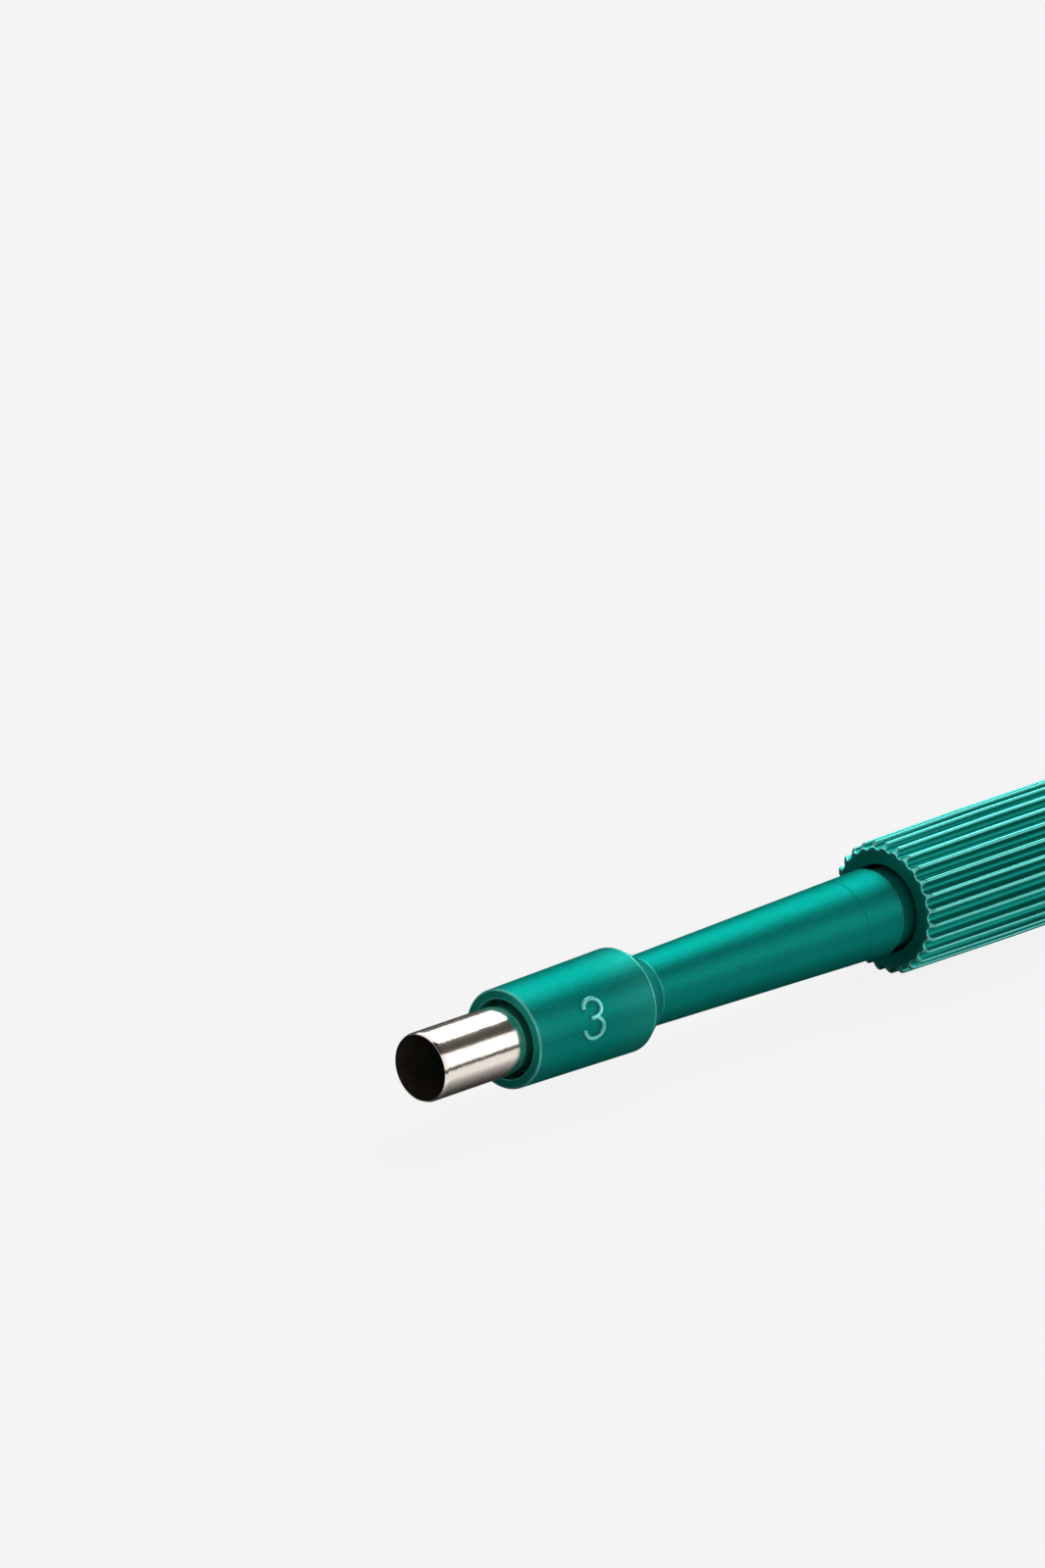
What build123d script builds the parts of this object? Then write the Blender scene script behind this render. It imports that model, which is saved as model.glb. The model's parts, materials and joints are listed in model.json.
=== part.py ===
# Disposable skin biopsy punch, 3 mm size, lying on its side.
# Millimetres. The axis of the punch is the X axis: the cutting edge is at X = 0 and the closed
# end of the grip points to +X. Z is up. The origin is the centre of the cutting edge.

import os

from build123d import *

os.makedirs("parts", exist_ok=True)

# Blade tube: drawn thin-walled steel, open at the front and ground to an edge from outside.
bore_diameter = 3.0
tube_wall = 0.12
edge_thickness = 0.03
edge_bevel_length = 0.15
tube_reach = 5.4
tube_seat_depth = 4.0

# Boss: the thick head of the front body, with a narrow deep recess round the tube.
recess_gap = 0.25
recess_depth = 1.2
boss_face_width = 0.47
boss_length = 7.5
boss_draft = 0.14
boss_front_round = 0.1
boss_rear_round = 0.12

# Shoulder and shank: a steep cone behind the boss, then a long shank that widens to the rear.
shoulder_length = 1.35
shoulder_root_round = 0.15
shank_front_diameter = 3.38
shank_rear_diameter = 4.18
shank_length = 15.95
shank_end_round = 0.05
witness_setback = 2.4
witness_groove_radius = 0.025

# Neck: the narrower rear of the front body, seated in the grip.
neck_step = 0.21
neck_show = 0.8
neck_seat_length = 12.0
neck_end_chamfer = 0.4

# Grip: a round moulding with lengthwise ribs, a counterbored mouth and a closed end.
grip_length = 67.0
grip_diameter = 6.5
grip_lead_length = 7.0
grip_lead_drop = 0.07
grip_mouth_gap = 0.23
grip_mouth_depth = 1.5
rib_count = 27
flute_width = 0.54
flute_depth = 0.42
rib_end_drop = 0.18
rib_end_run = 0.2
end_band_length = 2.0
end_band_step = 0.2
end_round = 0.4

# Radii that follow from the sizes above.
bore_radius = bore_diameter / 2
tube_radius = bore_radius + tube_wall
recess_radius = tube_radius + recess_gap
boss_front_radius = recess_radius + boss_face_width
boss_rear_radius = boss_front_radius + boss_draft
shank_front_radius = shank_front_diameter / 2
shank_rear_radius = shank_rear_diameter / 2
neck_radius = shank_rear_radius - neck_step
mouth_radius = neck_radius + grip_mouth_gap
crest_radius = grip_diameter / 2
lead_radius = crest_radius - grip_lead_drop
end_band_radius = crest_radius - end_band_step
flute_floor_radius = crest_radius - flute_depth

# Stations along the axis, from the cutting edge to the closed end.
boss_face_x = tube_reach
recess_floor_x = boss_face_x + recess_depth
tube_rear_x = recess_floor_x + tube_seat_depth
boss_rear_x = boss_face_x + boss_length
shank_front_x = boss_rear_x + shoulder_length
shank_rear_x = shank_front_x + shank_length
grip_face_x = shank_rear_x + neck_show
neck_rear_x = grip_face_x + grip_mouth_depth + neck_seat_length
grip_rear_x = grip_face_x + grip_length
rib_rear_x = grip_rear_x - end_band_length


def circles_at(piece, x, radius):
    """The circular edges of a turned piece at one station along the axis, with one radius."""
    circles = piece.edges().filter_by(GeomType.CIRCLE)
    at_station = circles.filter_by(lambda edge: abs(edge.arc_center.X - x) < 0.001)
    return at_station.filter_by(lambda edge: abs(edge.radius - radius) < 0.001)


# Blade tube. The bevel is on the outside only, so the bore keeps its size up to the edge.
with BuildPart() as blade_tube:
    with BuildSketch(Plane.XZ):
        with BuildLine():
            Polyline(
                (0, bore_radius),
                (0, bore_radius + edge_thickness),
                (edge_bevel_length, tube_radius),
                (tube_rear_x, tube_radius),
                (tube_rear_x, bore_radius),
                close=True,
            )
        make_face()
    revolve(axis=Axis.X)

# Front body: boss, shoulder, shank and neck are one moulding, round about the axis.
with BuildPart() as front_body:
    with BuildSketch(Plane.XZ):
        with BuildLine():
            Polyline(
                (tube_rear_x, 0),
                (tube_rear_x, tube_radius),
                (recess_floor_x, tube_radius),
                (recess_floor_x, recess_radius),
                (boss_face_x, recess_radius),
                (boss_face_x, boss_front_radius),
                (boss_rear_x, boss_rear_radius),
                (shank_front_x, shank_front_radius),
                (shank_rear_x, shank_rear_radius),
                (shank_rear_x, neck_radius),
                (neck_rear_x, neck_radius),
                (neck_rear_x, 0),
                close=True,
            )
        make_face()
    revolve(axis=Axis.X)

    fillet(circles_at(front_body, boss_face_x, boss_front_radius), boss_front_round)
    fillet(circles_at(front_body, boss_rear_x, boss_rear_radius), boss_rear_round)
    fillet(circles_at(front_body, shank_front_x, shank_front_radius), shoulder_root_round)
    fillet(circles_at(front_body, shank_rear_x, shank_rear_radius), shank_end_round)
    chamfer(circles_at(front_body, neck_rear_x, neck_radius), neck_end_chamfer)

    # Fine witness groove round the shank, where two halves of its mould meet.
    shank_slope = (shank_rear_radius - shank_front_radius) / shank_length
    witness_x = shank_rear_x - witness_setback
    witness_radius = shank_rear_radius - witness_setback * shank_slope
    with BuildSketch(Plane.XZ):
        with Locations((witness_x, witness_radius)):
            Circle(witness_groove_radius)
    revolve(axis=Axis.X, mode=Mode.SUBTRACT)

# Grip: the round blank over the rib crests, the stepped bore for the neck, then the flutes.
with BuildPart() as ribbed_grip:
    with BuildSketch(Plane.XZ):
        with BuildLine():
            Polyline(
                (neck_rear_x, 0),
                (neck_rear_x, neck_radius - neck_end_chamfer),
                (neck_rear_x - neck_end_chamfer, neck_radius),
                (grip_face_x + grip_mouth_depth, neck_radius),
                (grip_face_x + grip_mouth_depth, mouth_radius),
                (grip_face_x, mouth_radius),
                (grip_face_x, lead_radius - rib_end_drop),
                (grip_face_x + rib_end_run, lead_radius),
                (grip_face_x + grip_lead_length, crest_radius),
                (rib_rear_x - rib_end_run, crest_radius),
                (rib_rear_x, crest_radius - rib_end_drop),
                (rib_rear_x, end_band_radius),
                (grip_rear_x, end_band_radius),
                (grip_rear_x, 0),
                close=True,
            )
        make_face()
    revolve(axis=Axis.X)

    fillet(circles_at(ribbed_grip, grip_rear_x, end_band_radius), end_round)

    # Flutes: round-bottomed slots, the first one straight down, so the grip lies on two ribs.
    slot_reach = flute_depth + flute_width
    slot_middle_radius = flute_floor_radius + flute_width / 2 + slot_reach / 2
    with BuildSketch(Plane.YZ.offset(grip_face_x)):
        with PolarLocations(slot_middle_radius, rib_count, start_angle=-90):
            SlotCenterToCenter(slot_reach, flute_width)
    extrude(amount=grip_length - end_band_length, mode=Mode.SUBTRACT)

blade_tube.part.label = "blade_tube"
front_body.part.label = "front_body"
ribbed_grip.part.label = "ribbed_grip"

export_step(blade_tube.part, "parts/blade_tube.step")
export_step(front_body.part, "parts/front_body.step")
export_step(ribbed_grip.part, "parts/ribbed_grip.step")
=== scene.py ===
# %% [markdown]
# A disposable skin biopsy punch, dressed for a close-up.
#
# The punch is three pieces: a thin steel cutting tube, a green front body that holds it, and
# a round green grip with lengthwise ribs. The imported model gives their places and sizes, and
# this script gives each of them a smoother surface, its fine edges and its finish.
# Every piece is turned about the X axis, so most shapes here are a profile of stations along
# X and radii, carried round the axis with numpy.

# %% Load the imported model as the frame
import json
import math

import bpy
import numpy as np
from mathutils import Matrix, Vector


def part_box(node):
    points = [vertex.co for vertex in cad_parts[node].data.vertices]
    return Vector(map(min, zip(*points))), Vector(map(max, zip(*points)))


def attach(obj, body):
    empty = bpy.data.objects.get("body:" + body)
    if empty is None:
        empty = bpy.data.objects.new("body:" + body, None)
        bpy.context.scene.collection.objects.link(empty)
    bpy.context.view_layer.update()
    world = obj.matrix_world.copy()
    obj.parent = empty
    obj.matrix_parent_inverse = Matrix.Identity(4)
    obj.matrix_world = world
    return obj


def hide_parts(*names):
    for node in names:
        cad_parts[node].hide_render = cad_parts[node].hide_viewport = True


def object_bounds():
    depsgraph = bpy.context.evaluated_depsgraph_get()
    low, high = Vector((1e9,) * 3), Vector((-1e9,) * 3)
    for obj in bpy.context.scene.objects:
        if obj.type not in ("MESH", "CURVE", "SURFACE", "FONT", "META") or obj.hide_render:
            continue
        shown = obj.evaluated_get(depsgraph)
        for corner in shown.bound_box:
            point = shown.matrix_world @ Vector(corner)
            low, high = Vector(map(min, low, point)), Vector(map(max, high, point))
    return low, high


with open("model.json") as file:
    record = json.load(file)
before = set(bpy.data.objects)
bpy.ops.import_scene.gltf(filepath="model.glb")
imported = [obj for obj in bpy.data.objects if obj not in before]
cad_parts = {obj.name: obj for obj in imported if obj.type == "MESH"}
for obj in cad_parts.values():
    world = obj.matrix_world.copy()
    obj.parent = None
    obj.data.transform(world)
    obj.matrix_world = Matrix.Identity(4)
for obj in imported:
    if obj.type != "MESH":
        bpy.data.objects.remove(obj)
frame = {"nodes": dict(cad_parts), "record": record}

MM = 0.001

cad_low, cad_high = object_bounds()
tube_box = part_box("blade_tube")
body_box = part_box("front_body")
grip_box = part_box("ribbed_grip")
print("nodes in the frame:", sorted(frame["nodes"]))

# %% [markdown]
# The camera comes first, because it decides how fine each piece has to be.
#
# It looks down on the punch from its front left, from far away with a long lens, so the punch
# shows almost no perspective. The heading and the angle downwards were fitted to the ellipses
# of the tube and of the grip, and the lens to the size of the tube's mouth. With no shift and
# no roll, the punch then falls where the picture has it.

# %% Camera
IMAGE_HEIGHT = 1600
SENSOR_HEIGHT = 36.0
FOCAL_PIXELS = 13640.0
CAMERA_HEADING = 43.46
CAMERA_DOWN = 18.03
CAMERA_PLACE = Vector((-0.4081, -0.39306, 0.19783))
CAMERA_CLIP = (0.01, 20)


def heading_vector(heading, down):
    """Unit vector that points along a heading from +X towards +Y, and down by an angle."""
    heading, down = math.radians(heading), math.radians(down)
    level = math.cos(down)
    return Vector((level * math.cos(heading), level * math.sin(heading), -math.sin(down)))


camera_look = heading_vector(CAMERA_HEADING, CAMERA_DOWN)


def make_camera():
    """Long-lens camera: its own -Z axis is turned to look along the heading, with Y upwards."""
    lens_data = bpy.data.cameras.new("long_lens")
    lens_data.sensor_fit = "VERTICAL"
    lens_data.sensor_height = SENSOR_HEIGHT
    lens_data.lens = FOCAL_PIXELS / IMAGE_HEIGHT * SENSOR_HEIGHT
    lens_data.clip_start, lens_data.clip_end = CAMERA_CLIP
    camera = bpy.data.objects.new("camera", lens_data)
    bpy.context.scene.collection.objects.link(camera)
    camera.rotation_euler = camera_look.to_track_quat("-Z", "Y").to_euler()
    camera.location = CAMERA_PLACE
    bpy.context.scene.camera = camera
    return camera


camera = make_camera()
print("lens of", round(camera.data.lens, 1), "mm at", [round(v, 3) for v in camera.location])

# %% [markdown]
# Polished metal shows what stands round it, so the studio is built for its reflections.
#
# Seen from this camera, every surface of a body turned about X reflects the same cone of
# directions. Where a reflection comes from is then one number: its bearing round the X axis,
# counted from +Y up to +Z. A panel that runs along X between two bearings gives a straight
# band of light along the tube, and a dark card between two panels gives a dark band.
# A panel is an area lamp, wide enough to be soft on the plastic too. Both stand well behind the
# cutting end, where the cone meets them, so the faces that look forward stay in shade.

# %% Places round the axis
STUDIO_RADIUS = 1.5
PANEL_MIDDLE_X = 1.43


def bearing_point(bearing, radius, x):
    """Point at a distance from the X axis, at a bearing in degrees from +Y up to +Z."""
    angle = math.radians(bearing)
    return Vector((x, radius * math.cos(angle), radius * math.sin(angle)))


def chord(first, last, radius, x):
    """Middle, vector across and inward direction of a flat panel between two bearings."""
    start = bearing_point(first, radius, x)
    end = bearing_point(last, radius, x)
    middle = (start + end) / 2
    across = end - start
    inward = Vector((0, -middle.y, -middle.z)).normalized()
    return middle, across, inward


print("panels stand", STUDIO_RADIUS, "m from the axis, about", PANEL_MIDDLE_X, "m along it")

# %% Soft panels
OVERHEAD_BEARINGS = (38, 93.5)
OVERHEAD_LENGTH = 1.5
OVERHEAD_RADIANCE = 4.0
SIDE_BEARINGS = (145, 178)
SIDE_LENGTH = 1.1
SIDE_RADIANCE = 1.75


def soft_panel(name, bearings, length, radiance):
    """Area lamp along X between two bearings. Its power gives the panel that radiance.

    A one-sided lamp of area A and power P sends out P / (pi A) per unit of solid angle."""
    middle, across, inward = chord(*bearings, STUDIO_RADIUS, PANEL_MIDDLE_X)
    lamp = bpy.data.lights.new(name, "AREA")
    lamp.shape = "RECTANGLE"
    lamp.size = length
    lamp.size_y = across.length
    lamp.energy = radiance * math.pi * length * across.length
    panel = bpy.data.objects.new(name, lamp)
    bpy.context.scene.collection.objects.link(panel)
    sideways = Vector((1, 0, 0))
    back = -inward
    upright = back.cross(sideways)
    turned = Matrix((sideways, upright, back)).transposed().to_4x4()
    panel.matrix_world = Matrix.Translation(middle) @ turned
    panel.visible_camera = False
    print(name, "panel", round(length, 2), "by", round(across.length, 2), "m")


soft_panel("overhead", OVERHEAD_BEARINGS, OVERHEAD_LENGTH, OVERHEAD_RADIANCE)
soft_panel("side", SIDE_BEARINGS, SIDE_LENGTH, SIDE_RADIANCE)

# %% [markdown]
# The table is one large pale sheet that fills the picture, and the world behind it is plain.
#
# Lamps light a real table unevenly. Here the table is mostly an even glow to a view and to a
# mirror image, and only partly lit, so that it stays one pale grey and still keeps the soft
# shadow of the punch. To every other ray it is a plain pale sheet, so it throws light back up
# as a real one does. The world is made in the same way, and fills the shadows a little.

# %% Table
TABLE_COLOUR = (0.6, 0.6, 0.6)
TABLE_SHOWN = 1.0
TABLE_EVEN_SHARE = 0.87
TABLE_HALF = 6.0


def seen_or_mirrored(nodes, links, share):
    """The share, for a ray of a view, a mirror image or a clear body, and 0 for the rest."""
    path = nodes.new("ShaderNodeLightPath")
    value = path.outputs["Is Camera Ray"]
    for ray in ("Is Glossy Ray", "Is Transmission Ray"):
        either = nodes.new("ShaderNodeMath")
        either.operation = "MAXIMUM"
        links.new(value, either.inputs[0])
        links.new(path.outputs[ray], either.inputs[1])
        value = either.outputs[0]
    part = nodes.new("ShaderNodeMath")
    part.operation = "MULTIPLY"
    part.inputs[1].default_value = share
    links.new(value, part.inputs[0])
    return part.outputs[0]


def show_even(tree, plain, glow, output, share):
    """Mixes the glow into the plain shader by that share, for the rays that see or mirror it."""
    blend = tree.nodes.new("ShaderNodeMixShader")
    tree.links.new(seen_or_mirrored(tree.nodes, tree.links, share), blend.inputs["Fac"])
    tree.links.new(plain.outputs[0], blend.inputs[1])
    tree.links.new(glow.outputs[0], blend.inputs[2])
    tree.links.new(blend.outputs[0], output.inputs["Surface"])


def plain_material(name, colour):
    """One matt colour with no gloss at all."""
    material = bpy.data.materials.new(name)
    material.use_nodes = True
    shader = material.node_tree.nodes["Principled BSDF"]
    shader.inputs["Base Color"].default_value = (*colour, 1)
    shader.inputs["Roughness"].default_value = 1.0
    shader.inputs["Specular IOR Level"].default_value = 0.0
    return material


def table_material():
    """A matt pale sheet, shown as an even glow."""
    material = plain_material("table_top", TABLE_COLOUR)
    tree = material.node_tree
    glow = tree.nodes.new("ShaderNodeEmission")
    glow.inputs["Strength"].default_value = TABLE_SHOWN
    plain, output = tree.nodes["Principled BSDF"], tree.nodes["Material Output"]
    show_even(tree, plain, glow, output, TABLE_EVEN_SHARE)
    return material


def flat_sheet(name, corners, material):
    """One four-cornered face of the studio, which is no part of the punch."""
    mesh = bpy.data.meshes.new(name)
    mesh.from_pydata([tuple(c) for c in corners], [], [(0, 1, 2, 3)])
    mesh.materials.append(material)
    sheet = bpy.data.objects.new(name, mesh)
    bpy.context.scene.collection.objects.link(sheet)
    return sheet


def level_sheet(name, x_from, x_to, y_from, y_to, z, material):
    """Level rectangle between two places along X and two along Y, at a height."""
    corners = [(x_from, y_from, z), (x_to, y_from, z), (x_to, y_to, z), (x_from, y_to, z)]
    return flat_sheet(name, corners, material)


table_z = cad_low.z
table_span = (-TABLE_HALF, TABLE_HALF)
level_sheet("table", *table_span, *table_span, table_z, table_material())
print("table at", round(table_z / MM, 3), "mm")

# %% World
WORLD_FILL = 0.12


def make_world():
    """A weak even fill that a view or a mirror image sees as bright as the table."""
    world = bpy.data.worlds.new("studio")
    bpy.context.scene.world = world
    world.use_nodes = True
    tree = world.node_tree
    fill, output = tree.nodes["Background"], tree.nodes["World Output"]
    fill.inputs["Color"].default_value = (1, 1, 1, 1)
    fill.inputs["Strength"].default_value = WORLD_FILL
    shown = tree.nodes.new("ShaderNodeBackground")
    shown.inputs["Color"].default_value = (1, 1, 1, 1)
    shown.inputs["Strength"].default_value = TABLE_SHOWN
    show_even(tree, fill, shown, output, 1.0)


make_world()
bpy.context.scene.view_settings.view_transform = "Standard"
print("the world fills in with", WORLD_FILL, "and is shown at", TABLE_SHOWN)

# %% [markdown]
# The dark bands of the tube are painted reflections: dark cards that only mirror images see.
#
# One card closes the gap between the two panels, and one stands low behind the punch. On the
# table lie two more: a narrow, dark brownish strip before the punch, which paints the thin dark
# line low on the tube, and a wide glowing sheet that starts under the punch and runs back. That
# one is a painted shadow: in reflections it darkens the punch's lower side and the flat faces
# that look down the table. The near edge of that one is soft.
# They all show only in reflections: they take no light from the table and are in no picture.

# %% Dark cards
# Colours and places of the painted dark reflections and of the painted shadow.
GAP_CARD_COLOUR = (0.13, 0.12, 0.11)
BACK_CARD_COLOUR = (0.13, 0.13, 0.13)
PAINTED_LINE_COLOUR = (0.03, 0.018, 0.01)
CARD_RADIUS = 1.35
CARD_X = (-0.5, 3.0)
CARD_LIFT = 0.05 * MM
GAP_CARD_BEARINGS = (94, 138)
BACK_CARD_BEARINGS = (-1, 32)
PAINTED_LINE_Y = (-0.05, -0.0135)
PAINTED_SHADOW_Y = (-0.005, 1.3)
PAINTED_SHADOW_DARKEST = 0.035


def show_only_in_reflections(card):
    """Hides a card from everything but glossy rays."""
    card.visible_camera = False
    card.visible_diffuse = False
    card.visible_shadow = False
    card.visible_transmission = False


def standing_card(name, bearings, material):
    """Flat card along X between two bearings round the axis."""
    first, last = bearings
    near, far = CARD_X
    corners = [
        bearing_point(first, CARD_RADIUS, near),
        bearing_point(first, CARD_RADIUS, far),
        bearing_point(last, CARD_RADIUS, far),
        bearing_point(last, CARD_RADIUS, near),
    ]
    show_only_in_reflections(flat_sheet(name, corners, material))


def painted_shadow_material():
    """Painted shadow: a glow that falls from the table's at the card's near edge: low + span *
    share squared.
    """
    material = bpy.data.materials.new("soft_edged_card")
    material.use_nodes = True
    nodes, links = material.node_tree.nodes, material.node_tree.links
    nodes.clear()
    place = nodes.new("ShaderNodeTexCoord")
    parts = nodes.new("ShaderNodeSeparateXYZ")
    share = nodes.new("ShaderNodeMapRange")
    share.inputs["From Min"].default_value = 0.0
    share.inputs["From Max"].default_value = PAINTED_SHADOW_Y[0]
    square = nodes.new("ShaderNodeMath")
    square.operation = "POWER"
    square.inputs[1].default_value = 2.0
    strength = nodes.new("ShaderNodeMath")
    strength.operation = "MULTIPLY_ADD"
    strength.inputs[1].default_value = TABLE_SHOWN - PAINTED_SHADOW_DARKEST
    strength.inputs[2].default_value = PAINTED_SHADOW_DARKEST
    glow = nodes.new("ShaderNodeEmission")
    output = nodes.new("ShaderNodeOutputMaterial")
    links.new(place.outputs["Object"], parts.inputs["Vector"])
    links.new(parts.outputs["Y"], share.inputs["Value"])
    links.new(share.outputs["Result"], square.inputs[0])
    links.new(square.outputs[0], strength.inputs[0])
    links.new(strength.outputs[0], glow.inputs["Strength"])
    links.new(glow.outputs[0], output.inputs["Surface"])
    return material


# Painted dark reflections between the panels and behind the punch.
standing_card("gap_card", GAP_CARD_BEARINGS, plain_material("gap_card", GAP_CARD_COLOUR))
standing_card("back_card", BACK_CARD_BEARINGS, plain_material("back_card", BACK_CARD_COLOUR))
card_z = table_z + CARD_LIFT
# A painted dark line on the table, seen only in reflections.
painted_line_material = plain_material("line_card", PAINTED_LINE_COLOUR)
line_card = level_sheet("line_card", *CARD_X, *PAINTED_LINE_Y, card_z, painted_line_material)
# A painted shadow under and behind the punch: a glowing sheet seen only in reflections.
painted_shadow = painted_shadow_material()
ground_card = level_sheet("ground_card", *CARD_X, *PAINTED_SHADOW_Y, card_z, painted_shadow)
for card in (line_card, ground_card):
    show_only_in_reflections(card)
print("dark cards at", CARD_RADIUS, "m from the axis, and two on the table")

# %% [markdown]
# Each new piece starts as a grid of points: one direction runs along the profile, the other
# round the axis. The helpers below turn such a grid into a mesh whose faces point outwards.
#
# A sharp corner would catch no light, and real mouldings and ground edges never have one. So a
# profile is written as its corners with a round on each, and the helper works out the arcs.
# A short straight step beside each arc keeps the shading of the flat next to it flat.

# %% Profiles with rounded corners
ARC_STEPS = 8
HOLD = 0.02
HOLD_SHARE = 0.3


def rounded_profile(corners, arc_steps=ARC_STEPS):
    """Points (x, r) of a profile through corners (x, r, round).

    At a corner with sides at an angle A, the arc of radius R touches each side at the
    distance R / tan(A / 2) from the corner, and its centre is R / sin(A / 2) away from it
    on the line that halves the angle. A corner with a round of 0 stays as it is."""
    corners = np.asarray(corners, float)
    points = [corners[0, :2]]
    for before, corner, after in zip(corners[:-2], corners[1:-1], corners[2:]):
        middle, radius = corner[:2], corner[2]
        if radius == 0:
            points.append(middle)
            continue
        to_before = before[:2] - middle
        to_after = after[:2] - middle
        to_before /= np.linalg.norm(to_before)
        to_after /= np.linalg.norm(to_after)
        half = math.acos(np.clip(to_before @ to_after, -1, 1)) / 2
        reach = radius / math.tan(half)
        halfway = to_before + to_after
        centre = middle + halfway / np.linalg.norm(halfway) * radius / math.sin(half)
        start, end = middle + to_before * reach, middle + to_after * reach
        from_angle = math.atan2(*(start - centre)[::-1])
        turn = math.atan2(*(end - centre)[::-1]) - from_angle
        turn = (turn + math.pi) % (2 * math.pi) - math.pi
        angles = from_angle + turn * np.linspace(0, 1, arc_steps + 1)
        arc = centre + radius * np.column_stack([np.cos(angles), np.sin(angles)])
        hold = min(HOLD, radius * HOLD_SHARE)
        points.append(start + to_before * hold)
        points.extend(arc)
        points.append(end + to_after * hold)
    points.append(corners[-1, :2])
    return np.array(points)


one_corner = rounded_profile([(0, 0, 0), (1, 0, 0.1), (1, 1, 0)])
print("a corner with its round is", len(one_corner) - 2, "points")

# %% Grids of points to meshes
# Name of the attribute that paints the colour paler, a painted highlight, and lowers the
# roughness.
SHEEN_AND_GLOSS = "polish"


def grid_faces(rows, columns, wrap_rows=False):
    """Quads of a grid whose columns close on themselves, and its rows too where asked."""
    row = np.arange(rows if wrap_rows else rows - 1)[:, None]
    column = np.arange(columns)[None, :]
    next_row = (row + 1) % rows
    next_column = (column + 1) % columns
    quads = [
        row * columns + column,
        row * columns + next_column,
        next_row * columns + next_column,
        next_row * columns + column,
    ]
    return np.stack(quads, axis=-1).reshape(-1, 4)


def turned_points(x, radius, bearing):
    """Grid of points (x, r cos b, r sin b), in metres, from millimetres and radians."""
    x = np.broadcast_to(x, radius.shape)
    grid = np.stack([x, radius * np.cos(bearing), radius * np.sin(bearing)], axis=-1)
    return grid * MM


def turned_profile(profile, bearing):
    """Grid of a profile (x, r) carried round the axis, through one row of bearings."""
    radius = np.repeat(profile[:, 1:], bearing.size, axis=1)
    return turned_points(profile[:, :1], radius, bearing)


def piece_from_faces(name, points, faces, material, polish=None):
    """Smooth-shaded mesh object at the origin, from points in metres and lists of corners.

    The sheen and gloss is a number for each point, which the material reads as an attribute.
    It paints the colour paler, a painted highlight, and makes the surface smoother."""
    mesh = bpy.data.meshes.new(name)
    mesh.from_pydata(points.reshape(-1, 3).tolist(), [], faces)
    mesh.polygons.foreach_set("use_smooth", np.ones(len(mesh.polygons), bool))
    mesh.materials.append(material)
    if polish is not None:
        layer = mesh.attributes.new(SHEEN_AND_GLOSS, "FLOAT", "POINT")
        layer.data.foreach_set("value", polish.ravel().astype(np.float32))
    mesh.update()
    piece = bpy.data.objects.new(name, mesh)
    bpy.context.scene.collection.objects.link(piece)
    triangles = sum(len(face) - 2 for face in faces)
    print(name, "has", len(mesh.vertices), "points and", triangles, "triangles")
    return piece


def capped_piece(name, points, faces, ends, material, polish):
    """Mesh object of a grid whose first and last rows are closed to a point on the axis.

    The ends are the places of those two points along X, in millimetres. They follow the
    points of the grid, and each makes a triangle with every two neighbours of its row."""
    rows, columns = points.shape[:2]
    first, last = rows * columns, rows * columns + 1
    column = np.arange(columns)
    after = (column + 1) % columns
    base = (rows - 1) * columns
    faces = faces + np.column_stack([np.full(columns, first), after, column]).tolist()
    faces += np.column_stack([np.full(columns, last), base + column, base + after]).tolist()
    poles = np.array([[end, 0, 0] for end in ends]) * MM
    every = np.vstack([points.reshape(-1, 3), poles])
    return piece_from_faces(name, every, faces, material, np.append(polish, [0, 0]))


# %% [markdown]
# The steel of the tube is drawn and then ground round, which leaves hair-fine rings and a
# slight ripple. They break up the edge of every reflection. The rings are a noise squeezed
# along X, fine along the tube and long round it, and the ripple is a coarser, rounder noise
# below them. A third noise varies the roughness a little.
# The anisotropic socket would spread the light in the same way, but it needs a tangent on
# every mesh, and the rings themselves are wanted in a close-up.

# %% Noise and bumps
RING_PITCH = 0.09
RINGS_ACROSS = 0.1
RIPPLE_PITCH = 0.33
RIPPLES_ACROSS = 0.6


def object_mapping(nodes, links, scale):
    """Object coordinates in millimetres, stretched by a scale for each axis."""
    coordinates = nodes.new("ShaderNodeTexCoord")
    mapping = nodes.new("ShaderNodeMapping")
    mapping.inputs["Scale"].default_value = [s / MM for s in scale]
    links.new(coordinates.outputs["Object"], mapping.inputs["Vector"])
    return mapping.outputs["Vector"]


def noise_field(nodes, links, scale, detail=2.0):
    """Soft noise from 0 to 1, with so many bumps a millimetre along X, Y and Z."""
    noise = nodes.new("ShaderNodeTexNoise")
    noise.inputs["Scale"].default_value = 1.0
    noise.inputs["Detail"].default_value = detail
    links.new(object_mapping(nodes, links, scale), noise.inputs["Vector"])
    return noise.outputs["Fac"]


def bumps_per_mm(pitch, across=1.0):
    """Scale of a noise with that pitch along X, and only a share of its bumps across X."""
    return (1 / pitch, across / pitch, across / pitch)


def ranged(nodes, links, value, low, high):
    """A value from 0 to 1 spread over a range."""
    spread = nodes.new("ShaderNodeMapRange")
    spread.inputs["To Min"].default_value = low
    spread.inputs["To Max"].default_value = high
    links.new(value, spread.inputs["Value"])
    return spread.outputs["Result"]


def add_bump(nodes, links, height, depth, shader, below=None):
    """Bump of a real depth in metres, on top of another bump where one is given."""
    bump = nodes.new("ShaderNodeBump")
    bump.inputs["Strength"].default_value = 1.0
    bump.inputs["Distance"].default_value = depth
    links.new(height, bump.inputs["Height"])
    if below is not None:
        links.new(below, bump.inputs["Normal"])
    links.new(bump.outputs["Normal"], shader.inputs["Normal"])
    return bump.outputs["Normal"]


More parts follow.
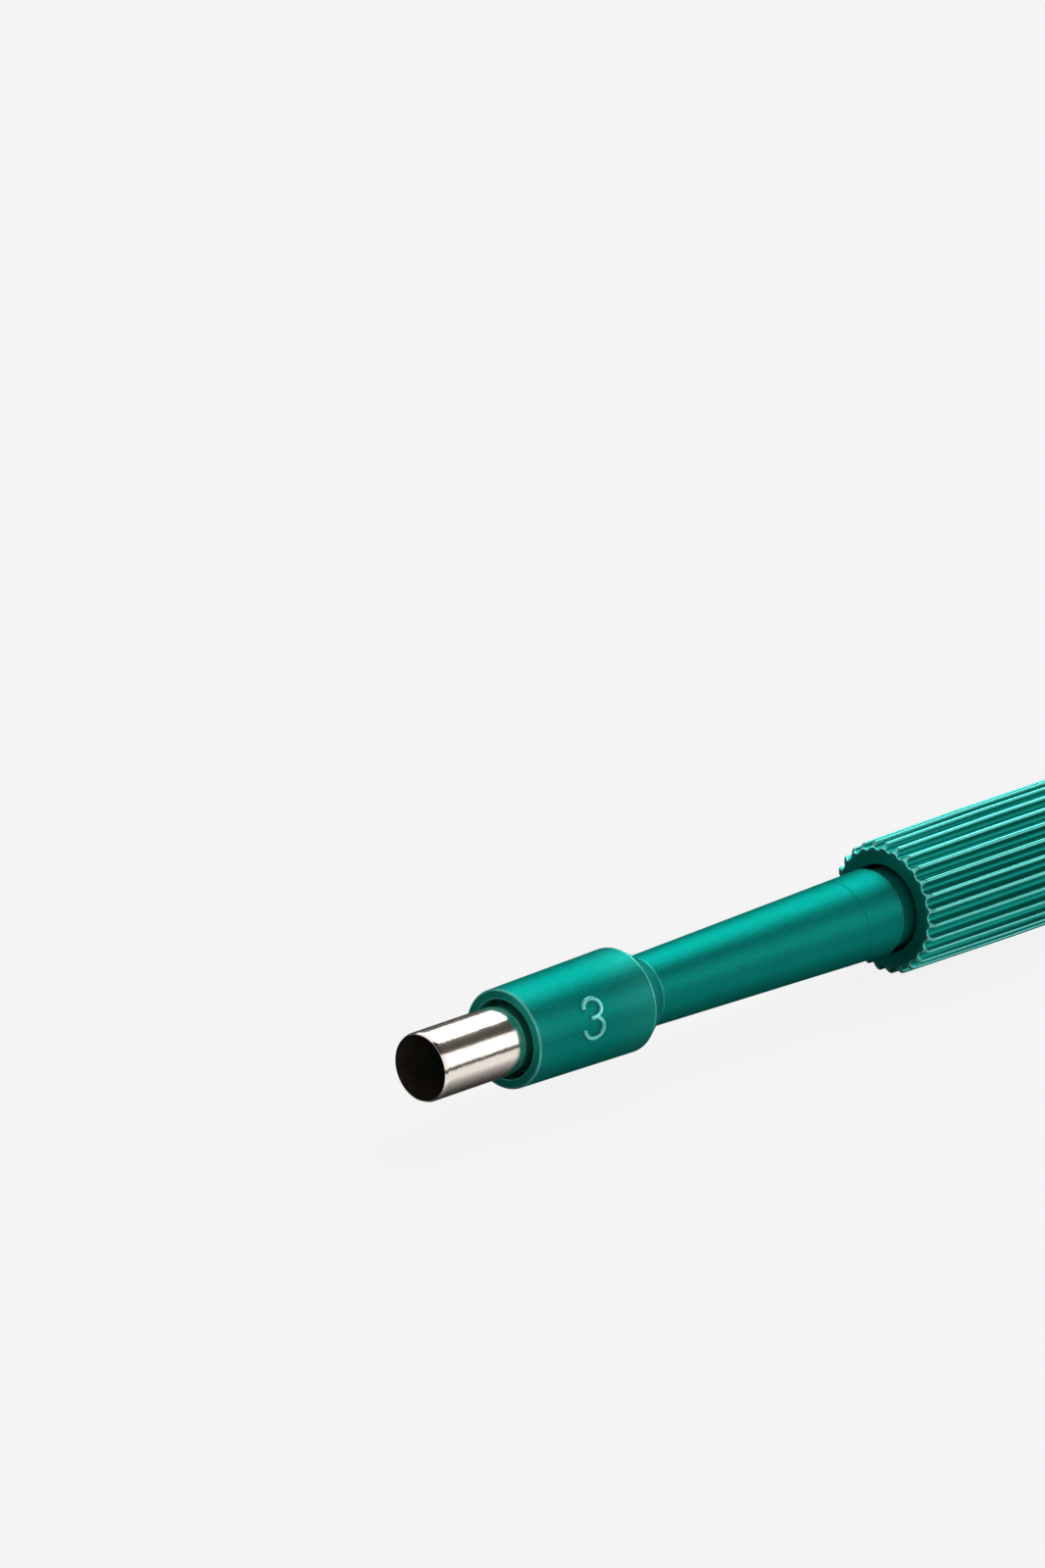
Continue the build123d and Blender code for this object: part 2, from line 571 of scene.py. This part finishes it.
ring_scale = bumps_per_mm(RING_PITCH, RINGS_ACROSS)
ripple_scale = bumps_per_mm(RIPPLE_PITCH, RIPPLES_ACROSS)
print("rings a millimetre:", round(ring_scale[0], 1), "and ripples:", round(ripple_scale[0], 1))

# %% Steel of the tube
STEEL_COLOUR = (0.89, 0.815, 0.73)
STEEL_ROUGHNESS = (0.12, 0.2)
STEEL_PATCHES = (1.2, 0.6, 0.6)
RING_DEPTH = 0.0016
RIPPLE_DEPTH = 0.011


def steel_material():
    """Plain metal whose two bumps, the ripple and the rings on it, break up its reflections."""
    material = bpy.data.materials.new("ground_steel")
    material.use_nodes = True
    nodes, links = material.node_tree.nodes, material.node_tree.links
    shader = nodes["Principled BSDF"]
    shader.inputs["Base Color"].default_value = (*STEEL_COLOUR, 1)
    shader.inputs["Metallic"].default_value = 1.0
    ripple = noise_field(nodes, links, ripple_scale)
    rippled = add_bump(nodes, links, ripple, RIPPLE_DEPTH * MM, shader)
    rings = noise_field(nodes, links, ring_scale, detail=3.0)
    add_bump(nodes, links, rings, RING_DEPTH * MM, shader, below=rippled)
    patches = noise_field(nodes, links, STEEL_PATCHES)
    links.new(ranged(nodes, links, patches, *STEEL_ROUGHNESS), shader.inputs["Roughness"])
    return material


steel = steel_material()
print(steel.name, "has", len(steel.node_tree.nodes), "nodes")

# %% [markdown]
# The green plastic is one colour all through, moulded in steel tools. The front body's mould
# was left with a fine spark-eroded grain, which glitters where a panel mirrors in it; the
# grip's mould is smoother, so its ribs carry crisp lines of light, which a painted highlight
# on the crests makes brighter.
# In the picture even the highlights of this strong colour are green. The clear gloss of the
# shader is white at the edges whatever its tint, so that gloss is kept low, and a share of
# Metallic, whose reflection takes the colour of the plastic, stands in for it.
# Sharp edges, the raised numeral and the crests of the ribs are smoother, and their colour
# is painted paler, a painted highlight. The mesh says where: each point carries a number from
# 0 to 1, its sheen and gloss. The colour follows it all the way, and the roughness is at its
# lowest from the value of a crest upwards.

# %% Green plastic
BODY_GREEN = (0.007, 0.315, 0.262)
GRIP_GREEN = (0.007, 0.27, 0.223)
# Paler green that the colour is painted towards: a painted highlight on edges, numeral and crests.
PAINTED_SHEEN_GREEN = (0.28, 1.0, 0.92)
GREEN_EDGE_TINT = (0.1, 0.95, 0.88)
TONE_SPREAD = 0.07
TONE_PATCHES = (0.5, 0.9, 0.9)
ROUGHNESS_SPREAD = 0.04
ROUGHNESS_PATCHES = (2.0, 2.0, 2.0)
# The crests' painted highlight and gloss; from this value upwards the roughness is lowest.
CREST_SHEEN_AND_GLOSS = 0.46


def mixed_colours(nodes, links, factor, low, high):
    """Colour between two, by a factor. Each is a colour or the output of another node."""
    mix = nodes.new("ShaderNodeMix")
    mix.data_type = "RGBA"
    for socket, colour in (("A", low), ("B", high)):
        if isinstance(colour, tuple):
            mix.inputs[socket].default_value = (*colour, 1)
        else:
            links.new(colour, mix.inputs[socket])
    links.new(factor, mix.inputs["Factor"])
    return mix.outputs["Result"]


def green_plastic(name, colour, tinted_gloss, clear_gloss, roughness, grain_depth, grain_pitch):
    """Moulded plastic with a grain of that depth and pitch in millimetres.

    The roughness is a pair: of the plain surface, and of a crest or anything more polished."""
    material = bpy.data.materials.new(name)
    material.use_nodes = True
    nodes, links = material.node_tree.nodes, material.node_tree.links
    shader = nodes["Principled BSDF"]
    shader.inputs["Metallic"].default_value = tinted_gloss
    shader.inputs["Specular Tint"].default_value = (*GREEN_EDGE_TINT, 1)
    shader.inputs["Specular IOR Level"].default_value = clear_gloss
    flow = noise_field(nodes, links, TONE_PATCHES, detail=3.0)
    darker = tuple(c * (1 - TONE_SPREAD) for c in colour)
    paler = tuple(c * (1 + TONE_SPREAD) for c in colour)
    tones = mixed_colours(nodes, links, flow, darker, paler)
    polish = nodes.new("ShaderNodeAttribute")
    polish.attribute_name = SHEEN_AND_GLOSS
    # Painted highlight: the colour is mixed towards a paler green by the sheen-and-gloss value.
    painted_sheen = mixed_colours(nodes, links, polish.outputs["Fac"], tones, PAINTED_SHEEN_GREEN)
    links.new(painted_sheen, shader.inputs["Base Color"])
    grain = noise_field(nodes, links, bumps_per_mm(grain_pitch))
    add_bump(nodes, links, grain, grain_depth * MM, shader)
    # The same value lowers the roughness, to the second of the pair at a crest's value.
    sheen_and_smoothing = nodes.new("ShaderNodeMapRange")
    sheen_and_smoothing.inputs["From Max"].default_value = CREST_SHEEN_AND_GLOSS
    sheen_and_smoothing.inputs["To Min"].default_value, sheen_and_smoothing.inputs["To Max"].default_value = roughness
    links.new(polish.outputs["Fac"], sheen_and_smoothing.inputs["Value"])
    patches = noise_field(nodes, links, ROUGHNESS_PATCHES)
    uneven = ranged(nodes, links, patches, -ROUGHNESS_SPREAD, ROUGHNESS_SPREAD)
    patchy = nodes.new("ShaderNodeMath")
    patchy.operation = "ADD"
    links.new(sheen_and_smoothing.outputs["Result"], patchy.inputs[0])
    links.new(uneven, patchy.inputs[1])
    links.new(patchy.outputs[0], shader.inputs["Roughness"])
    return material


body_green = green_plastic(
    "grained_green",
    BODY_GREEN,
    tinted_gloss=0.38,
    clear_gloss=0.0,
    roughness=(0.38, 0.24),
    grain_depth=0.022,
    grain_pitch=0.07,
)
grip_green = green_plastic(
    "smooth_green",
    GRIP_GREEN,
    tinted_gloss=0.66,
    clear_gloss=0.05,
    roughness=(0.42, 0.19),
    grain_depth=0.002,
    grain_pitch=0.16,
)
print("two plastics:", body_green.name, "and", grip_green.name)

# %% [markdown]
# The cutting tube is a thin wall of steel, open at the front and ground to an edge from the
# outside, with the last of the bore honed a little wider. A profile that runs up the outside,
# across the back and down the bore, and closes at the lip, makes one watertight ring. Its two
# sizes come from the frame: the outer radius from the node's box, and the bore from the mount
# in the record.

# %% Cutting tube
TUBE_ANGLES = 240
TUBE_ARC_STEPS = 4
TUBE_END_ROUND = 0.03
LIP_WIDTH = 0.02
LIP_ROUND = 0.008
BEVEL_LENGTH = 0.15
BEVEL_ROUND = 0.3
HONED_LENGTH = 0.3
HONED_RISE = 0.04

bore_mount = next(m for m in frame["record"]["mounts"] if m["name"] == "cutting_bore")
bore_radius = bore_mount["dims"]["r_mm"]
tube_radius = tube_box[1].z / MM
tube_rear = tube_box[1].x / MM


def make_tube():
    """Closed loop (x, r) of the wall, carried round the X axis."""
    honed_radius = bore_radius + HONED_RISE
    profile = rounded_profile(
        [
            (tube_rear / 2, tube_radius, 0),
            (tube_rear, tube_radius, TUBE_END_ROUND),
            (tube_rear, bore_radius, TUBE_END_ROUND),
            (HONED_LENGTH, bore_radius, 0),
            (0, honed_radius, LIP_ROUND),
            (0, honed_radius + LIP_WIDTH, LIP_ROUND),
            (BEVEL_LENGTH, tube_radius, BEVEL_ROUND),
            (tube_rear / 2, tube_radius, 0),
        ],
        arc_steps=TUBE_ARC_STEPS,
    )[:-1]
    bearing = np.linspace(0, 2 * math.pi, TUBE_ANGLES, endpoint=False)[None, :]
    points = turned_profile(profile, bearing)
    faces = grid_faces(len(profile), TUBE_ANGLES, wrap_rows=True)
    return piece_from_faces("cutting_tube", points, faces.tolist(), steel)


tube = make_tube()
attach(tube, "root")
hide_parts("blade_tube")

# %% [markdown]
# The front body is one moulding: a boss round the tube, a steep shoulder, a long shank that
# widens to the rear, and a narrower neck that goes into the grip. The numeral on the boss
# stands proud of it, so it belongs to the same skin. It could be a separate text object laid
# on the boss, but then it would neither follow the curve nor meet the boss in a soft foot.
# Here the radius of the skin is a function of two parameters, the station along X and the
# bearing round the axis, and the numeral is added to it as a height.

# %% Outline of the front body
RECESS_GAP = 0.25
RECESS_DEPTH = 1.2
RECESS_FLOOR_ROUND = 0.06
RECESS_EDGE_ROUND = 0.05
BOSS_FACE_WIDTH = 0.47
BOSS_LENGTH = 7.5
BOSS_DRAFT = 0.14
BOSS_FRONT_ROUND = 0.1
BOSS_REAR_ROUND = 0.18
SHOULDER_LENGTH = 1.35
SHANK_FRONT_RADIUS = 1.69
SHANK_REAR_RADIUS = 2.09
SHANK_LENGTH = 15.95
SHANK_FRONT_ROUND = 0.15
SHANK_END_ROUND = 0.07
NECK_STEP = 0.21
NECK_ROOT_ROUND = 0.05
NECK_END_ROUND = 0.4
WITNESS_SETBACK = 2.4
WITNESS_DEPTH = 0.025
WITNESS_ROUND = 0.01
# Painted highlights along the edges of the front body, with their gloss.
EDGE_SHEEN_AND_GLOSS = {
    "recess": {"reach": 0.07, "most": 0.6},
    "boss front": {"reach": 0.12, "most": 1.0},
    "boss rear": {"reach": 0.075, "most": 1.0},
    "shank front": {"reach": 0.06, "most": 0.6},
    "shank rear": {"reach": 0.085, "most": 1.0},
}

boss_face = body_box[0].x / MM
body_rear = body_box[1].x / MM
recess_radius = tube_radius + RECESS_GAP
boss_front_radius = recess_radius + BOSS_FACE_WIDTH
boss_rear_radius = boss_front_radius + BOSS_DRAFT
boss_rear = boss_face + BOSS_LENGTH
shank_front = boss_rear + SHOULDER_LENGTH
shank_rear = shank_front + SHANK_LENGTH
neck_radius = SHANK_REAR_RADIUS - NECK_STEP
print("boss from", round(boss_face, 2), "to", round(boss_rear, 2), "mm along X")


def front_body_profile():
    """Points (x, r) from the plug behind the tube, out over the boss, to the neck's end."""
    slope = (SHANK_REAR_RADIUS - SHANK_FRONT_RADIUS) / SHANK_LENGTH
    witness = shank_rear - WITNESS_SETBACK
    witness_radius = SHANK_REAR_RADIUS - WITNESS_SETBACK * slope
    return rounded_profile(
        [
            (tube_rear, 0.0, 0),
            (tube_rear, tube_radius, 0),
            (boss_face + RECESS_DEPTH, tube_radius, 0),
            (boss_face + RECESS_DEPTH, recess_radius, RECESS_FLOOR_ROUND),
            (boss_face, recess_radius, RECESS_EDGE_ROUND),
            (boss_face, boss_front_radius, BOSS_FRONT_ROUND),
            (boss_rear, boss_rear_radius, BOSS_REAR_ROUND),
            (shank_front, SHANK_FRONT_RADIUS, SHANK_FRONT_ROUND),
            (witness - WITNESS_DEPTH, witness_radius, WITNESS_ROUND),
            (witness, witness_radius - WITNESS_DEPTH, WITNESS_ROUND),
            (witness + WITNESS_DEPTH, witness_radius, WITNESS_ROUND),
            (shank_rear, SHANK_REAR_RADIUS, SHANK_END_ROUND),
            (shank_rear, neck_radius, NECK_ROOT_ROUND),
            (body_rear, neck_radius, NECK_END_ROUND),
            (body_rear, 0.0, 0),
        ]
    )


def edge_sheen_and_gloss(rows):
    """Painted highlight and gloss of each row (x, r): the most of an edge at its corner, and
    evenly less with the distance from it, down to 0 at its reach."""
    corners = {
        "recess": (boss_face, recess_radius),
        "boss front": (boss_face, boss_front_radius),
        "boss rear": (boss_rear, boss_rear_radius),
        "shank front": (shank_front, SHANK_FRONT_RADIUS),
        "shank rear": (shank_rear, SHANK_REAR_RADIUS),
    }
    polish = np.zeros(len(rows))
    for edge, (x, radius) in corners.items():
        reach, most = EDGE_SHEEN_AND_GLOSS[edge]["reach"], EDGE_SHEEN_AND_GLOSS[edge]["most"]
        distance = np.hypot(rows[:, 0] - x, rows[:, 1] - radius)
        polish = np.maximum(polish, most * np.clip(1 - distance / reach, 0, 1))
    return polish


# %% [markdown]
# The numeral tells the bore in millimetres. Its centre line is two pieces of an ellipse with
# a short straight tail between them, drawn on the unrolled boss. The height of the relief at
# a point depends only on how far that point is from the line: full height inside the stroke,
# nothing outside it, and a smooth ramp between, which is the draft that lets it leave a mould.
# The ends are cut square, by planes across the ends of a line drawn a little too long. The
# top of the relief is smoother, and its colour is painted paler than the grain, a painted
# highlight; its flanks stay dark.

# %% Raised numeral
NUMERAL_MIDDLE_X = 8.95
NUMERAL_TURN = 0.372
UPPER_BOWL = {"x": 0.005, "y": 0.457, "wide": 0.535, "tall": 0.43, "from": 176, "to": -90}
LOWER_BOWL = {"x": -0.115, "y": -0.428, "wide": 0.605, "tall": 0.462, "from": 62, "to": -183}
BOWL_STEPS = 28
NUMERAL_TAIL = 0.23
STROKE_WIDTH = 0.2
STROKE_HEIGHT = 0.12
STROKE_DRAFT = 0.07
CUT_REACH = STROKE_WIDTH * 1.6

camera_bearing = math.atan2(-camera_look.z, -camera_look.y)
print("the camera stands at a bearing of", round(math.degrees(camera_bearing), 1), "degrees")


def bowl(arc):
    """Part of an ellipse, (x + wide cos t, y + tall sin t)."""
    t = np.radians(np.linspace(arc["from"], arc["to"], BOWL_STEPS))
    along, up = arc["x"] + arc["wide"] * np.cos(t), arc["y"] + arc["tall"] * np.sin(t)
    return np.column_stack([along, up])


def distance_to_stroke(along, up, line):
    """Distance of each point (along, up) from a line with square ends.

    The line is lengthened at both ends. The distance to each of its segments comes from the
    nearest point on it, and near an end the square cut is the distance past the cut plane."""
    ends = [
        (tip, (tip - inner) / np.linalg.norm(tip - inner))
        for tip, inner in ((line[0], line[1]), (line[-1], line[-2]))
    ]
    first, last = (tip + outward * STROKE_WIDTH for tip, outward in ends)
    longer = np.vstack([first, line, last])
    points = np.stack([along, up], axis=-1)[..., None, :]
    starts, steps = longer[:-1], np.diff(longer, axis=0)
    share = ((points - starts) * steps).sum(-1) / (steps**2).sum(-1)
    nearest = starts + np.clip(share, 0, 1)[..., None] * steps
    distance = np.linalg.norm(points - nearest, axis=-1).min(-1)
    for tip, outward in ends:
        offset = points[..., 0, :] - tip
        past = offset @ outward + STROKE_WIDTH / 2
        near = np.linalg.norm(offset, axis=-1) < CUT_REACH
        distance = np.where(near, np.maximum(distance, past), distance)
    return distance


def numeral_relief(x, bearing):
    """Height of the relief in mm, a smooth ramp from the foot of the stroke to its top, and
    its painted highlight with gloss, which starts a quarter of the way up the ramp and is full
    on the top."""
    along = x - NUMERAL_MIDDLE_X
    arc_radius = boss_front_radius + BOSS_DRAFT / 2
    up = -((bearing - camera_bearing) * arc_radius - NUMERAL_TURN)
    upper = bowl(UPPER_BOWL)
    upper = np.vstack([upper, upper[-1] - [NUMERAL_TAIL, 0]])
    strokes = (upper, bowl(LOWER_BOWL))
    distance = np.minimum(*(distance_to_stroke(along, up, line) for line in strokes))
    ramp = np.clip((STROKE_WIDTH / 2 + STROKE_DRAFT / 2 - distance) / STROKE_DRAFT, 0, 1)
    share = ramp * ramp * (3 - 2 * ramp)
    # The second value paints the top paler, a painted highlight, and makes it smoother.
    return STROKE_HEIGHT * share, np.clip((4 * share - 1) / 3, 0, 1)


# %% Front body
BODY_ANGLES = 200
NUMERAL_ROOM_X = 0.85
NUMERAL_ROOM_UP = 1.2
NUMERAL_STEP = 0.016
TOLERANCE = 0.001


def with_fine_part(coarse, low, high, step):
    """Sorted values with an evenly fine stretch between low and high."""
    outside = coarse[(coarse < low - step / 2) | (coarse > high + step / 2)]
    return np.sort(np.concatenate([outside, np.arange(low, high + step / 2, step)]))


def body_bearings():
    """Bearings of the columns, even round the axis and finer across the numeral."""
    room = NUMERAL_ROOM_UP / boss_front_radius
    middle = camera_bearing + NUMERAL_TURN / boss_front_radius
    around = np.linspace(0, 2 * math.pi, BODY_ANGLES, endpoint=False)
    around = (around - middle + math.pi) % (2 * math.pi) + middle - math.pi
    step = NUMERAL_STEP / boss_front_radius
    return with_fine_part(np.sort(around), middle - room, middle + room, step)


def body_rows(profile):
    """The profile with fine rows across the numeral, which lies on the boss's outside."""
    low, high = NUMERAL_MIDDLE_X - NUMERAL_ROOM_X, NUMERAL_MIDDLE_X + NUMERAL_ROOM_X
    fine = np.arange(low, high + NUMERAL_STEP / 2, NUMERAL_STEP)
    draft = (boss_rear_radius - boss_front_radius) / BOSS_LENGTH
    fine_rows = np.column_stack([fine, boss_front_radius + (fine - boss_face) * draft])
    x, radius = profile.T
    outside = np.flatnonzero((x < low) & (radius > boss_front_radius - TOLERANCE))[-1]
    return np.vstack([profile[: outside + 1], fine_rows, profile[outside + 1 :]])


def make_front_body():
    """Skin (x, r + relief, bearing), closed by a point on the axis at both ends."""
    rows = body_rows(front_body_profile())
    ends, rows = rows[[0, -1], 0], rows[1:-1]
    bearing = body_bearings()[None, :]
    x, radius = rows[:, :1], np.repeat(rows[:, 1:], bearing.size, axis=1)
    on_boss = np.abs(x - NUMERAL_MIDDLE_X) < NUMERAL_ROOM_X + TOLERANCE
    on_boss = on_boss & (radius > boss_front_radius - TOLERANCE)
    relief, sheen_and_smoothing = numeral_relief(*np.broadcast_arrays(x, bearing))
    points = turned_points(x, radius + np.where(on_boss, relief, 0), bearing)
    # Painted highlights on the edges and on the numeral's top, with their gloss.
    polish = np.maximum(edge_sheen_and_gloss(rows)[:, None], np.where(on_boss, sheen_and_smoothing, 0))
    faces = grid_faces(*radius.shape).tolist()
    return capped_piece("front_moulding", points, faces, ends, body_green, polish)


front_moulding = make_front_body()
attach(front_moulding, "root")
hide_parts("front_body")

# %% [markdown]
# The grip is the piece that takes the most care: lengthwise ribs with round-bottomed flutes
# between them. The section of one flute and half a land on each side is repeated round the
# axis. It is made of four stretches: the round bottom, the wall, the round edge of the land
# and the land itself. The wall is the line from the axis that touches the bottom circle. At
# the ends of the ribs, where the land drops below that wall, the round edge meets the bottom
# circle itself, so the section never folds over itself.
# At the front the section draws in by a small inset while it turns into the end face: the
# lands get lower and narrower, and the flutes wider. That rounds the rim of every flute and
# land alike, and the rim catches the light; its colour is painted paler there as well, a
# painted highlight.

# %% Section of the grip
RIB_COUNT = 27
FLUTE_HALF_WIDTH = 0.258
FLUTE_DEPTH = 0.42
LAND_EDGE_ROUND = 0.09
LEAST_EDGE_ROUND = 0.006
BOTTOM_STEPS = 9
WALL_STEPS = 3
EDGE_STEPS = 5

grip_radius = grip_box[1].z / MM
grip_face = grip_box[0].x / MM
grip_rear = grip_box[1].x / MM
print("grip from", round(grip_face, 2), "to", round(grip_rear, 2), "mm along X")


def half_flute(crest, inset):
    """Polar points (radius, angle) from the middle of a flute to the middle of a land.

    The bottom is a circle of radius w round a point at the distance c from the axis. The
    line from the axis that touches it runs at the angle asin(w / c), which is the wall. The
    land's edge is an arc of radius e inside the crest circle R, so its centre is at the
    distance d = R - e from the axis. It touches the wall, asin(e / d) past it. Where the wall
    would end below its own start, it touches the bottom circle instead: their centres are
    w + e apart, which gives its angle by the law of cosines."""
    centre = grip_radius - FLUTE_DEPTH + FLUTE_HALF_WIDTH
    width = FLUTE_HALF_WIDTH + inset
    edge = max(LAND_EDGE_ROUND - inset, LEAST_EDGE_ROUND)
    top = crest - inset
    reach = top - edge
    wall = math.asin(width / centre)
    wall_from, wall_to = centre * math.cos(wall), math.sqrt(reach**2 - edge**2)
    if wall_to > wall_from:
        gamma = wall + math.asin(edge / reach)
        last = math.pi / 2 - wall
        steps = BOTTOM_STEPS
        along = np.linspace(wall_from, wall_to, WALL_STEPS + 1)[1:, None]
    else:
        square = reach**2 + centre**2 - (width + edge) ** 2
        gamma = math.acos(square / (2 * reach * centre))
        last = math.atan2(reach * math.sin(gamma), centre - reach * math.cos(gamma))
        steps = BOTTOM_STEPS + WALL_STEPS
        along = np.empty((0, 1))
    t = np.linspace(0, last, steps + 1)
    bottom = np.column_stack([width * np.sin(t), centre - width * np.cos(t)])
    side = along * [math.sin(wall), math.cos(wall)]
    turn = np.linspace(-last, gamma, EDGE_STEPS + 1)[1:, None]
    arc_middle = reach * np.array([math.sin(gamma), math.cos(gamma)])
    arc = arc_middle + edge * np.hstack([np.sin(turn), np.cos(turn)])
    land_middle = math.pi / RIB_COUNT
    land = top * np.array([[math.sin(land_middle), math.cos(land_middle)]])
    section = np.vstack([bottom, side, arc, land])
    return np.hypot(*section.T), np.arctan2(*section.T)


def flute_ring(crest, inset):
    """Radii and bearings of a whole section, with the first flute straight down."""
    radius, angle = half_flute(crest, inset)
    radius = np.concatenate([radius[:0:-1], radius[:-1]])
    angle = np.concatenate([-angle[:0:-1], angle[:-1]])
    pitch = 2 * math.pi / RIB_COUNT
    starts = -math.pi / 2 + pitch * np.arange(RIB_COUNT)
    bearing = (starts[:, None] + angle[None, :]).ravel()
    return np.tile(radius, RIB_COUNT), bearing


whole_ring = flute_ring(grip_radius, 0)[0]
print("a section of the grip has", whole_ring.size, "points, out to", round(whole_ring.max(), 3))

# %% Stations along the grip
LEAD_LENGTH = 7.0
LEAD_DROP = 0.07
LEAD_BLEND = 0.4
RIB_END_DROP = 0.25
RIB_END_RUN = 0.28
RIB_END_STATIONS = (0.09, 0.13, 0.17, 0.21, 0.26, 0.3)
RIM_ROUND = 0.05
RIM_STEPS = 6
FACE_INSET = 0.012
END_BAND_LENGTH = 2.0

rib_rear = grip_rear - END_BAND_LENGTH


def crest_at(x):
    """Radius of the crests: a straight lead from the face, and a curved drop at both ends."""
    lead = LEAD_DROP * np.clip(1 - (x - grip_face) / LEAD_LENGTH, 0, 1)
    front = np.clip(1 - (x - grip_face) / RIB_END_RUN, 0, 1)
    rear = np.clip(1 - (rib_rear - x) / RIB_END_RUN, 0, 1)
    return grip_radius - lead - RIB_END_DROP * (front**2 + rear**2)


def ribbed_rings():
    """Rings of the fluted stretch: x, crest, inset and painted highlight with gloss of each, from
    face to band.

    Round the rim, for a turn t from 0 to a right angle, a ring lies R (1 - cos t) behind the
    face with an inset of R (1 - sin t). Its painted highlight and gloss is sin 2t, so it is
    most halfway round.
    The first ring lies on the face, FACE_INSET further in, and keeps its shading flat."""
    turn = np.linspace(0, math.pi / 2, RIM_STEPS + 1)
    rim_x = RIM_ROUND * (1 - np.cos(turn))
    rim_inset = RIM_ROUND * (1 - np.sin(turn))
    run = np.array(RIB_END_STATIONS)
    middle = LEAD_LENGTH + np.array([-LEAD_BLEND, 0, LEAD_BLEND])
    length = rib_rear - grip_face
    x = np.concatenate([[0.0], rim_x, run, middle, length - run[::-1], [length]])
    straight = np.zeros(x.size - rim_x.size - 1)
    inset = np.concatenate([[RIM_ROUND + FACE_INSET], rim_inset, straight])
    # Painted highlight round the rim, with its gloss.
    polish = np.zeros(x.size)
    polish[1 : 1 + turn.size] = np.sin(2 * turn)
    return grip_face + x, crest_at(grip_face + x), inset, polish


print("the ribs are made of", ribbed_rings()[0].size, "rings")

# %% [markdown]
# The mouth of the grip is a step wider than the neck, which leaves the dark gap round it, and
# the bore behind that step holds the neck. The other end is a smooth band, a little lower than
# the ribs, with a rounded edge. Both are turned, so each is a profile carried round the axis,
# with as many columns as a section of the ribs, and the three grids join ring to ring.
# The flat face between the mouth and the rim is left as one many-sided face for each flute.

# %% Mouth, face and end band
SEAT_CLEARANCE = 0.004
SEAT_ROUND = 0.04
MOUTH_GAP = 0.23
MOUTH_DEPTH = 1.5
MOUTH_FLOOR_ROUND = 0.06
MOUTH_EDGE_ROUND = 0.05
FACE_MARGIN = 0.13
END_BAND_STEP = 0.2
END_ROUND = 0.4
POLE_RING_RADIUS = 0.5


def mouth_profile():
    """Points (x, r) from the bottom of the bore, out over the step, to the face."""
    seat_radius = neck_radius + SEAT_CLEARANCE
    mouth_radius = neck_radius + MOUTH_GAP
    return rounded_profile(
        [
            (body_rear, POLE_RING_RADIUS, 0),
            (body_rear, seat_radius, 0),
            (grip_face + MOUTH_DEPTH, seat_radius, SEAT_ROUND),
            (grip_face + MOUTH_DEPTH, mouth_radius, MOUTH_FLOOR_ROUND),
            (grip_face, mouth_radius, MOUTH_EDGE_ROUND),
            (grip_face, grip_radius - FLUTE_DEPTH - FACE_MARGIN, 0),
        ]
    )


def band_profile():
    """Points (x, r) from the end of the ribs, round the rear edge, to the ring at the pole."""
    band_radius = grip_radius - END_BAND_STEP
    return rounded_profile(
        [
            (rib_rear, band_radius, 0),
            (grip_rear, band_radius, END_ROUND),
            (grip_rear, POLE_RING_RADIUS, 0),
        ]
    )


def face_sectors(front, columns):
    """The flat end face, one many-sided face for each flute: round the flute and back.

    It lies between two rings of the grid, the last of the mouth and the first of the ribs,
    and front is the number of that second ring."""
    per_flute = columns // RIB_COUNT
    sectors = []
    for flute in range(RIB_COUNT):
        run = (flute * per_flute + np.arange(per_flute + 1)) % columns
        inner = (front - 1) * columns + run
        outer = front * columns + run
        sectors.append(np.concatenate([inner, outer[::-1]]).tolist())
    return sectors


print("mouth of", len(mouth_profile()), "rings, end band of", len(band_profile()))

# %% Whole grip
CREST_SHEEN_DEPTH = 0.19


def make_grip():
    """Mouth, ribs and end band as one grid of rings, closed on the axis at both ends.

    The painted highlight and gloss of the ribs is CREST_SHEEN_AND_GLOSS on a crest and falls
    evenly with the depth below it, to 0 at CREST_SHEEN_DEPTH. The first ring of the band takes
    the bearings of the last ring of the ribs, so that the step between them is straight."""
    x, crest, inset, rim_sheen_and_gloss = ribbed_rings()
    rings = [flute_ring(c, i) for c, i in zip(crest, inset)]
    ribs = np.stack([turned_points(s, r, b) for s, (r, b) in zip(x, rings)])
    columns = ribs.shape[1]
    from_flute = np.arange(columns) + 0.5 - columns / RIB_COUNT / 2
    even = (-math.pi / 2 + 2 * math.pi * from_flute / columns)[None, :]
    mouth, band = mouth_profile(), band_profile()
    band_grid = turned_profile(band, even)
    band_grid[0] = turned_profile(band[:1], rings[-1][1][None, :])[0]
    points = np.concatenate([turned_profile(mouth, even), ribs, band_grid])
    front, rear = len(mouth), len(mouth) + len(ribs)
    faces = grid_faces(front, columns).tolist()
    faces += (grid_faces(len(ribs), columns) + front * columns).tolist()
    faces += (grid_faces(len(band) + 1, columns) + (rear - 1) * columns).tolist()
    faces += face_sectors(front, columns)
    # Painted highlight along the crests of the ribs, with their gloss.
    below_crest = crest[:, None] - np.stack([radius for radius, _ in rings])
    crest_sheen_and_gloss = CREST_SHEEN_AND_GLOSS * np.clip(1 - below_crest / CREST_SHEEN_DEPTH, 0, 1)
    polish = np.zeros(points.shape[:2])
    polish[front:rear] = np.maximum(rim_sheen_and_gloss[:, None], crest_sheen_and_gloss)
    return capped_piece("grip_moulding", points, faces, (body_rear, grip_rear), grip_green, polish)


grip_moulding = make_grip()
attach(grip_moulding, "root")
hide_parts("ribbed_grip")
